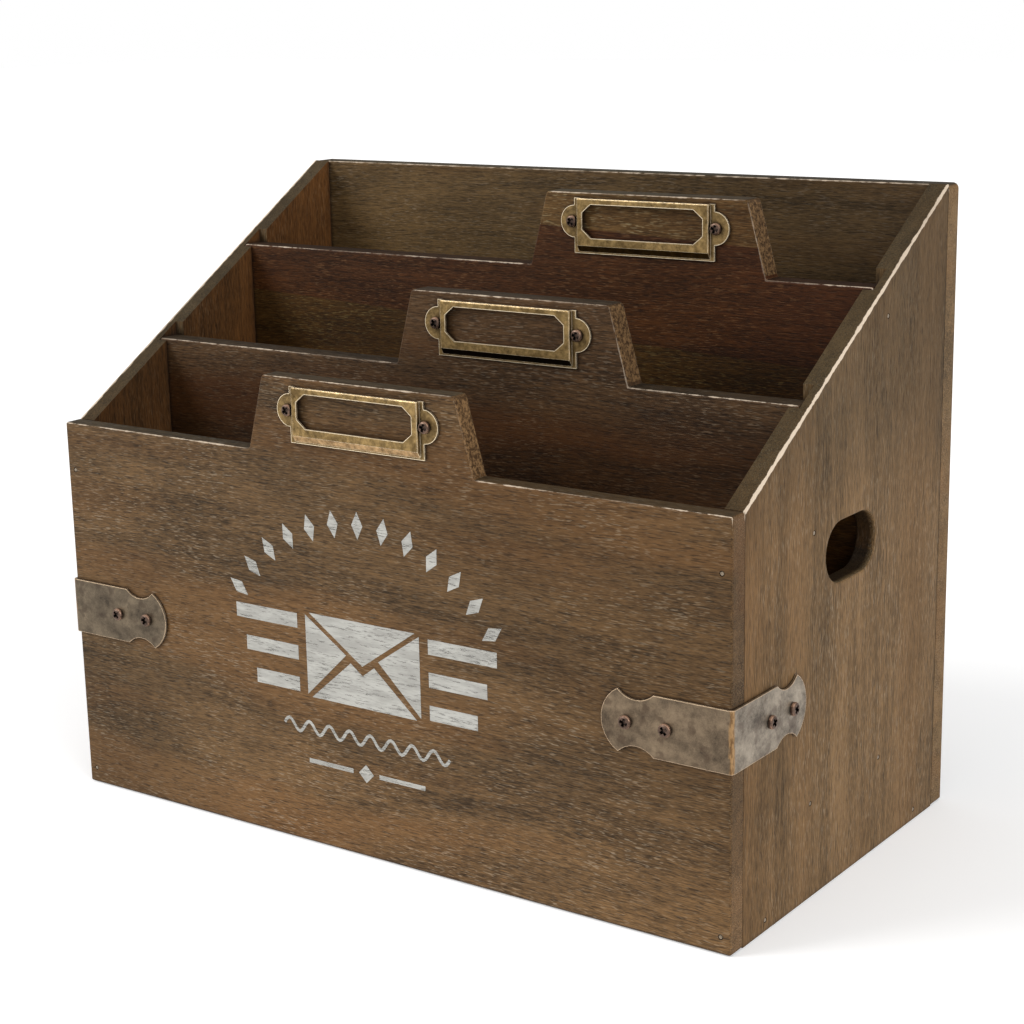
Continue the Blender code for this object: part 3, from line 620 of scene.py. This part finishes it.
# Screw ring colour: partly worn plating, partly a painted highlight
SCREW_COPPER = (0.44, 0.27, 0.185, 1.0)
BRAD_RIM = (0.30, 0.24, 0.17, 1.0)


def plated_finish(name, tones, layers, metal):
    """Aged plating, and the wear and dirt that layers adds over it."""
    made, tree, shader, position = new_finish(name)
    aged = use_group(tree, patina, dict(tones, Vector=position))
    colour = layers(tree, position, aged["Color"])
    set_surface(tree, shader, colour, aged["Roughness"], aged["Height"], METAL_RELIEF)
    shader.inputs["Metallic"].default_value = metal
    return made


def rim_wear_and_highlight(tree, position, colour, rim, width):
    """Bright metal along the sheet's corners: partly rubbed plating, partly a painted highlight.

    The rim is where the surface, rounded over the width, turns away from itself.
    """
    rounded = place(tree, "Bevel", {"Radius": width}, samples=8).outputs[0]
    flat = place(tree, "NewGeometry").outputs["Normal"]
    turned = place(tree, "VectorMath", {0: rounded, 1: flat}, operation="DOT_PRODUCT").outputs["Value"]
    broken = noise(tree, position, (350.0, 350.0, 350.0), detail=3.0, roughness=0.6, shift=(1.0, 2.0, 3.0))
    kept = remap(tree, broken, 0.30, 0.50, 0.5, 1.0)
    share = maths(tree, "MULTIPLY", remap(tree, turned, 0.992, 0.94), kept)
    return mix(tree, share, colour, rim)


def painted_corner_shade(tree, colour, reach, clear, full, shade_colour, most):
    """Painted shade: the colour goes toward the given dark where other surfaces within reach close the sky
    off, from clear to full.
    """
    open_sky = place(tree, "AmbientOcclusion", {"Distance": reach}, samples=8).outputs["AO"]
    share = maths(tree, "MULTIPLY", remap(tree, open_sky, clear, full), most)
    return mix(tree, share, colour, shade_colour)


def brass_finish(name, node, slope_painted_light):
    """Aged brass of one label frame, with painted shade on the sheet behind the raised tray.

    The tray's lower slope, which looks down, takes its own painted light: a painted highlight on the front
    frame, painted shade on the middle and rear frames.
    """
    tray_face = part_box(node)[0].y

    def layers(tree, position, colour):
        y = split(tree, position)[1]
        down = split(tree, place(tree, "NewGeometry").outputs["Normal"])[2]
        # Painted shade on the sheet, walls and window behind the raised tray face
        behind_tray_shade = remap(tree, y, tray_face + 0.0012, tray_face + 0.0022)
        colour = stain_and_shade(tree, behind_tray_shade, colour, BRASS_SHEET_PAINTED_SHADE)
        # Painted light on the downward-facing lower slope
        colour = stain_and_shade(tree, remap(tree, down, -0.15, -0.45), colour, slope_painted_light)
        # Painted shade in the tray's corners, the window and around the screws
        colour = painted_corner_shade(tree, colour, 0.004, 0.97, 0.45, BRASS_CORNER_SHADE, 0.9)
        # Bright rim: partly rubbed plating, partly a painted highlight
        return rim_wear_and_highlight(tree, position, colour, BRASS_RIM, 0.0006)

    return plated_finish(name, BRASS_TONES, layers, 0.85)


def bracket_layers(tree, position, colour):
    """A golden strip along the bend, painted light that makes the leaf along the side lighter and bluer, and
    the left bracket made darker.
    """
    low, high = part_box("corner_bracket_right")
    x, y, _ = split(tree, position)
    outward = maths(tree, "SUBTRACT", high.x, maths(tree, "ABSOLUTE", x))
    from_bend = maths(tree, "MAXIMUM", outward, maths(tree, "SUBTRACT", y, low.y))
    ragged = noise(tree, position, (1100.0, 1100.0, 260.0), detail=3.0, roughness=0.7, shift=(2.0, 6.0, 3.0))
    reach = remap(tree, ragged, 0.35, 0.65, 0.0014, 0.0021)
    strip = remap(tree, maths(tree, "DIVIDE", from_bend, reach), 0.60, 1.10, 0.90, 0.0)
    tint = mix(tree, remap(tree, ragged, 0.40, 0.60), BEND_DARK, BEND_GOLD)
    # Painted light on the leaf that faces sideways
    colour = stain_and_shade(tree, remap(tree, facing(tree, 0), 0.5, 0.8), colour, BRACKET_SIDE_PAINTED_LIGHT)
    # The left bracket is made darker
    colour = stain_and_shade(tree, remap(tree, x, 0.02, -0.02), colour, BRACKET_LEFT_DARKENING)
    colour = mix(tree, strip, colour, tint)
    # Bright rim: partly rubbed plating, partly a painted highlight
    return rim_wear_and_highlight(tree, position, colour, BRACKET_RIM, 0.0005)


def screw_layers(tree, position, colour):
    """A copper ring round the head's shoulder, partly worn plating and partly a painted highlight, and
    painted shade that blackens the cross recess.
    """
    squarely = maths(tree, "MAXIMUM", facing(tree, 0), facing(tree, 1))
    scuffed = noise(tree, position, (600.0, 600.0, 600.0), detail=3.0, roughness=0.6, shift=(1.0, 2.0, 3.0))
    kept = remap(tree, scuffed, 0.3, 0.6, 0.35, 1.0)
    ring = maths(tree, "MULTIPLY", remap(tree, squarely, 0.95, 0.70), kept)
    # Ring: partly worn plating, partly a painted highlight
    colour = mix(tree, ring, colour, SCREW_COPPER)
    # Painted shade that blackens the cross recess
    return painted_corner_shade(tree, colour, 0.0014, 0.85, 0.60, CORNER_SHADE_DARK, 1.0)


def brad_layers(tree, position, colour):
    return rim_wear_and_highlight(tree, position, colour, BRAD_RIM, 0.0002)


def dress(node, finish):
    """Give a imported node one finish."""
    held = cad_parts[node].data.materials
    held.clear()
    held.append(finish)


BRASS_TONES = {
    "Dark": (0.075, 0.046, 0.014, 1.0),
    "Light": (0.410, 0.272, 0.108, 1.0),
    "Stain": (0.090, 0.052, 0.015, 1.0),
    "Clouds": 1.0,
    "Mottle": 1.8,
}
BRONZE_TONES = {
    "Dark": (0.058, 0.040, 0.025, 1.0),
    "Light": (0.245, 0.178, 0.112, 1.0),
    "Stain": (0.066, 0.040, 0.024, 1.0),
    "Clouds": 2.3,
    "Mottle": 0.8,
}
SCREW_TONES = {
    "Dark": (0.045, 0.028, 0.020, 1.0),
    "Light": (0.150, 0.094, 0.068, 1.0),
    "Stain": (0.040, 0.024, 0.016, 1.0),
    "Clouds": 1.0,
    "Mottle": 1.2,
}
BRAD_TONES = {
    "Dark": (0.10, 0.075, 0.050, 1.0),
    "Light": (0.42, 0.34, 0.25, 1.0),
    "Stain": (0.09, 0.06, 0.04, 1.0),
    "Clouds": 0.8,
    "Mottle": 1.0,
}
# Painted light on each frame's lower slope: a painted highlight for the front frame, painted shade for the
# middle and rear frames
SLOPE_PAINTED_HIGHLIGHT = (1.85, 1.80, 2.20, 1.0)
SHADED_SLOPE = (0.05, 0.035, 0.02, 1.0)
SLOPE_PAINTED_DIM_SHADE = (0.38, 0.30, 0.18, 1.0)
dress("label_frame_front", brass_finish("front_brass", "label_frame_front", SLOPE_PAINTED_HIGHLIGHT))
dress("label_frame_middle", brass_finish("middle_brass", "label_frame_middle", SHADED_SLOPE))
dress("label_frame_rear", brass_finish("rear_brass", "label_frame_rear", SLOPE_PAINTED_DIM_SHADE))
bronze = plated_finish("antique_bronze", BRONZE_TONES, bracket_layers, 0.75)
screw_bronze = plated_finish("dark_bronze", SCREW_TONES, screw_layers, 0.75)
steel = plated_finish("bright_steel", BRAD_TONES, brad_layers, 0.6)

REAR_TONES = dict(MIDDLE_TONES, Warmth=0.12)
CROSS_BOARDS = (
    # node, material, shoulder, tones, shift of the grain
    ("front_panel", "front_wood", FRONT_SHOULDER, FRONT_TONES, (0.0, 0.0, 0.0)),
    ("middle_divider", "middle_wood", MIDDLE_SHOULDER, MIDDLE_TONES, (0.7, 0.3, 0.2)),
    ("rear_divider", "rear_wood", REAR_SHOULDER, REAR_TONES, (1.7, 0.6, 0.9)),
    ("back_panel", "back_wood", BACK_TOP, BACK_TONES, (2.9, 1.6, 0.4)),
    ("bottom_panel", "bottom_wood", BOTTOM_TOP, BOTTOM_TONES, (3.3, 2.6, 1.4)),
)
EXTRAS = {
    "front_panel": {"tab_x": FRONT_TAB_X, "layers": front_shade},
    "middle_divider": {"tab_x": MIDDLE_TAB_X, "layers": middle_shade, "end_wear": 0.35},
    "rear_divider": {"tab_x": REAR_TAB_X, "layers": rear_bands, "end_wear": 0.8},
    "back_panel": {"layers": back_shade},
}
for node, name, shoulder, tones, shift in CROSS_BOARDS:
    extras = EXTRAS.get(node, {})
    dress(node, cross_board_finish(name, node, shoulder, tones, shift, **extras))
dress("right_side_panel", side_finish("right_side_wood", "right_side_panel", (0.0, 0.4, 0.8)))
dress("left_side_panel", side_finish("left_side_wood", "left_side_panel", (1.5, 1.4, 1.8)))
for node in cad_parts:
    if node.startswith("corner_bracket"):
        dress(node, bronze)
    elif "_screw_" in node:
        dress(node, screw_bronze)
    elif "_brad_" in node:
        dress(node, steel)


# Printed emblem --------------------------------------------------------------------

EMBLEM_X = -0.0035
INK_NEAR = 0.00007
INK_FAR = 0.00002
ARCH_LOZENGES = 13
ARCH_HALF_ANGLE = math.radians(56.0)
ARCH_RADIUS = 0.080
ARCH_CENTRE_Z = 0.0640
BAR_HALF_HEIGHT = 0.0032


def as_film(outline_sets):
    """Thin slabs of ink on the front panel from convex outlines.

    Each outline is an array of (x, z) points, in order round the shape. The
    slab's two faces are the outline at INK_NEAR and INK_FAR in front of the
    panel, and its wall joins each point to the next.
    """
    corners = []
    faces = []
    start = 0
    for outline in outline_sets:
        count = len(outline)
        near = np.column_stack([outline[:, 0], np.full(count, FRONT_FACE - INK_NEAR), outline[:, 1]])
        far = np.column_stack([outline[:, 0], np.full(count, FRONT_FACE - INK_FAR), outline[:, 1]])
        corners.append(np.vstack([near, far]))
        here = start + np.arange(count)
        onward = start + (np.arange(count) + 1) % count
        walls = np.column_stack([onward, here, here + count, onward + count])
        faces.append(here.tolist())
        faces.append((here[::-1] + count).tolist())
        faces.extend(walls.tolist())
        start += 2 * count
    return np.vstack(corners), faces


def counterclockwise(outline):
    """The outline in the order that makes its front face look outward."""
    x, z = outline[:, 0], outline[:, 1]
    area = np.sum(x * np.roll(z, -1) - np.roll(x, -1) * z)
    return outline if area > 0 else outline[::-1]


def polygon(*points):
    return counterclockwise(np.array(points, float))


def bar(near, far, low, high):
    return polygon((near, low), (far, low), (far, high), (near, high))


def lozenge(x, z, half_width, half_height, turn):
    """Four points on the axes of a cross, turned about its middle."""
    across = np.array([half_width, 0.0, -half_width, 0.0])
    upward = np.array([0.0, half_height, 0.0, -half_height])
    turned_x = x + across * math.cos(turn) - upward * math.sin(turn)
    turned_z = z + across * math.sin(turn) + upward * math.cos(turn)
    return counterclockwise(np.column_stack([turned_x, turned_z]))


def ribbon(x, z, width):
    """Quadrilaterals along a path: each pair of stations, offset to both sides by half the width."""
    along = np.column_stack([np.gradient(x), np.gradient(z)])
    along /= np.linalg.norm(along, axis=1)[:, None]
    aside = np.column_stack([-along[:, 1], along[:, 0]]) * width / 2
    path = np.column_stack([x, z])
    left, right = path + aside, path - aside
    return [np.array([right[n], right[n + 1], left[n + 1], left[n]]) for n in range(len(x) - 1)]


def emblem_outlines():
    """An envelope between postal bars, under an arch of lozenges and over a wave."""
    shapes = []
    for turn in np.linspace(-1.0, 1.0, ARCH_LOZENGES) * ARCH_HALF_ANGLE:
        reach_x = EMBLEM_X + ARCH_RADIUS * math.sin(turn)
        reach_z = ARCH_CENTRE_Z + ARCH_RADIUS * math.cos(turn)
        shapes.append(lozenge(reach_x, reach_z, 0.0029, 0.0058, -turn))
    left, right, low, high = EMBLEM_X - 0.030, EMBLEM_X + 0.030, 0.0660, 0.1030
    knee = low + 0.46 * (high - low)
    slit = 0.0011
    shapes.append(polygon((left + 2 * slit, high), (right - 2 * slit, high), (EMBLEM_X, knee + slit)))
    shapes.append(polygon((left, high - slit), (left, low + slit), (EMBLEM_X - 0.0085, knee + 0.0045)))
    shapes.append(polygon((right, high - slit), (right, low + slit), (EMBLEM_X + 0.0085, knee + 0.0045)))
    base = ((left + 2 * slit, low), (right - 2 * slit, low), (EMBLEM_X + 0.0062, knee + 0.0015))
    shapes.append(polygon(*base, (EMBLEM_X, knee - 0.0030), (EMBLEM_X - 0.0062, knee + 0.0015)))
    for side in (-1, 1):
        for row, length in enumerate((0.034, 0.029, 0.024)):
            near = EMBLEM_X + side * 0.0345
            far = near + side * length
            z = high - 0.0045 - 0.0140 * row
            shapes.append(bar(near, far, z - BAR_HALF_HEIGHT, z + BAR_HALF_HEIGHT))
    swing = np.linspace(-1.0, 1.0, 97)
    shapes += ribbon(EMBLEM_X + 0.044 * swing, 0.0520 + 0.0026 * np.sin(swing * 8.0 * math.pi), 0.0014)
    for side in (-1, 1):
        near, far = EMBLEM_X + side * 0.007, EMBLEM_X + side * 0.031
        shapes.append(bar(near, far, 0.0362, 0.0382))
    shapes.append(lozenge(EMBLEM_X, 0.0372, 0.0040, 0.0040, 0.0))
    return shapes


def ink_finish():
    """Pale printing ink, thin where the timber's fibres stand proud."""
    made, tree, shader, position = new_finish("printing_ink")
    timber = use_group(tree, grain, dict(FRONT_TONES, Vector=position))
    patchy = noise(tree, position, (60.0, 260.0, 260.0), detail=3.0, roughness=0.6, shift=(6.0, 1.0, 2.0))
    tint = mix(tree, remap(tree, patchy, 0.35, 0.65), (0.34, 0.33, 0.30, 1.0), (0.46, 0.45, 0.41, 1.0))
    cover = remap(tree, timber["Tone"], 0.05, 0.45, 0.35, 0.92)
    rubbed = noise(tree, position, (170.0, 1500.0, 1500.0), detail=2.0, shift=(3.0, 3.0, 3.0))
    worn = remap(tree, rubbed, 0.56, 0.68)
    cover = maths(tree, "MULTIPLY", cover, maths(tree, "SUBTRACT", 1.0, maths(tree, "MULTIPLY", worn, 0.55)))
    set_surface(tree, shader, tint, timber["Roughness"], timber["Height"], INK_RELIEF)
    tree.links.new(cover, shader.inputs["Alpha"])
    return made


ink_corners, ink_faces = as_film(emblem_outlines())
ink_mesh = bpy.data.meshes.new("printed_emblem")
ink_mesh.from_pydata(ink_corners.tolist(), [], ink_faces)
ink_mesh.materials.append(ink_finish())
emblem = bpy.data.objects.new("printed_emblem", ink_mesh)
bpy.context.scene.collection.objects.link(emblem)
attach(emblem, "root")


# Stage, light and camera --------------------------------------------------------------


def build_floor():
    """A wide square just under the case."""
    reach = 8.0
    level = -0.0004
    mesh = bpy.data.meshes.new("floor")
    corners = [(-reach, -reach, level), (reach, -reach, level), (reach, reach, level), (-reach, reach, level)]
    mesh.from_pydata(corners, [], [(0, 1, 2, 3)])
    finish, _, shader, _ = new_finish("studio_paper")
    shader.inputs["Base Color"].default_value = (0.80, 0.80, 0.80, 1.0)
    shader.inputs["Emission Color"].default_value = (1.0, 1.0, 1.0, 1.0)
    shader.inputs["Emission Strength"].default_value = 0.30
    shader.inputs["Roughness"].default_value = 0.9
    shader.inputs["Specular IOR Level"].default_value = 0.1
    mesh.materials.append(finish)
    floor = bpy.data.objects.new("floor", mesh)
    bpy.context.scene.collection.objects.link(floor)


def add_sun(name, azimuth, elevation, strength, spread):
    """A soft light from far away; azimuth 0 shines from the front, 90 from the right."""
    light = bpy.data.lights.new(name, "SUN")
    light.energy = strength
    light.angle = math.radians(spread)
    turn, rise = math.radians(azimuth), math.radians(elevation)
    toward = Vector((math.sin(turn) * math.cos(rise), -math.cos(turn) * math.cos(rise), math.sin(rise)))
    lamp = bpy.data.objects.new(name, light)
    lamp.matrix_world = toward.to_track_quat("Z", "Y").to_matrix().to_4x4()
    bpy.context.scene.collection.objects.link(lamp)


def build_world():
    world = bpy.data.worlds.new("studio")
    world.use_nodes = True
    sky = world.node_tree.nodes["Background"]
    tree = world.node_tree
    seen = place(tree, "LightPath").outputs["Is Camera Ray"]
    tree.links.new(remap(tree, seen, 0.0, 1.0, 0.42, 1.0, smooth=False), sky.inputs["Strength"])
    sky.inputs["Color"].default_value = (1.0, 1.0, 1.0, 1.0)
    bpy.context.scene.world = world


CAMERA_PLACE = (0.52718, -0.72728, 0.35385)
CAMERA_TURN = 35.553
CAMERA_RISE = 13.988
CAMERA_ROLL = -1.187
CAMERA_LENS_MM = 73.98


def build_camera():
    """The camera, set by where it stands and how far it is turned, raised and rolled."""
    turn, rise, roll = (math.radians(angle) for angle in (CAMERA_TURN, CAMERA_RISE, CAMERA_ROLL))
    back = Vector((math.sin(turn) * math.cos(rise), -math.cos(turn) * math.cos(rise), math.sin(rise)))
    aimed = back.to_track_quat("Z", "Y").to_matrix().to_4x4()
    lens = bpy.data.cameras.new("camera")
    lens.lens = CAMERA_LENS_MM
    lens.sensor_width = 36.0
    lens.clip_start = 0.01
    camera = bpy.data.objects.new("camera", lens)
    rolled = Matrix.Rotation(roll, 4, "Z")
    camera.matrix_world = Matrix.Translation(CAMERA_PLACE) @ aimed @ rolled
    bpy.context.scene.collection.objects.link(camera)
    bpy.context.scene.camera = camera


build_floor()
add_sun("key_light", -48.0, 33.0, 2.0, 30.0)
add_sun("right_light", 76.0, 24.0, 1.8, 50.0)
add_sun("top_light", 10.0, 78.0, 0.5, 40.0)
build_world()
build_camera()
bpy.context.scene.view_settings.view_transform = "Standard"
